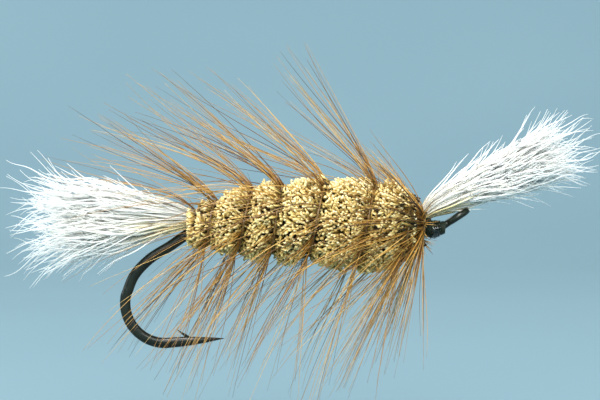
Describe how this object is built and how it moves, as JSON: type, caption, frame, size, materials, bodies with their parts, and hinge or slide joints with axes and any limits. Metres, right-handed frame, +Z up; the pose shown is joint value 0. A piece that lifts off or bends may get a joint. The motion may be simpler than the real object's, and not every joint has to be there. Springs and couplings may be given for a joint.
{
  "type": "dry fly",
  "caption": "Hair-bodied salmon dry fly: up-eyed hook, clipped hair body, palmered ginger hackle, white hair tail and forward wing.",
  "frame": {"origin": "centre of the hook's eye", "axes": "+X along the shank towards the eye and the wing, +Z up away from the hook point, the bend lies in the XZ plane"},
  "size_m": [0.0652, 0.0396, 0.0381],
  "materials": {
    "hook_wire": "gloss black japanned steel wire",
    "tying_thread": "black waxed thread",
    "head_coat": "clear head cement over black thread",
    "calf_hair": "white crinkled hair with a soft gloss",
    "deer_hair": "cream clipped hair, matt",
    "hackle_quill": "ginger brown quill, satin",
    "hackle_barb": "ginger brown barbs, glossy"
  },
  "bodies": {
    "root": {"hook": "hook_wire", "thread_base_rear": "tying_thread", "thread_base_front": "tying_thread", "tail": "calf_hair", "tail_binding": "tying_thread", "hair_bundle_1": "deer_hair", "hair_bundle_2": "deer_hair", "hair_bundle_3": "deer_hair", "hair_bundle_4": "deer_hair", "hair_bundle_5": "deer_hair", "hair_bundle_6": "deer_hair", "hair_bundle_7": "deer_hair", "bundle_binding_2": "tying_thread", "bundle_binding_3": "tying_thread", "bundle_binding_4": "tying_thread", "bundle_binding_5": "tying_thread", "bundle_binding_6": "tying_thread", "bundle_binding_7": "tying_thread", "hackle_stem": "hackle_quill", "hackle_barbs_1": "hackle_barb", "hackle_barbs_2": "hackle_barb", "hackle_barbs_3": "hackle_barb", "hackle_barbs_4": "hackle_barb", "hackle_barbs_5": "hackle_barb", "hackle_barbs_6": "hackle_barb", "hackle_collar": "hackle_barb", "wing": "calf_hair", "wing_binding": "tying_thread", "head_thread": "tying_thread", "whip_finish": "tying_thread", "head_cement": "head_coat"}
  },
  "joints": []
}
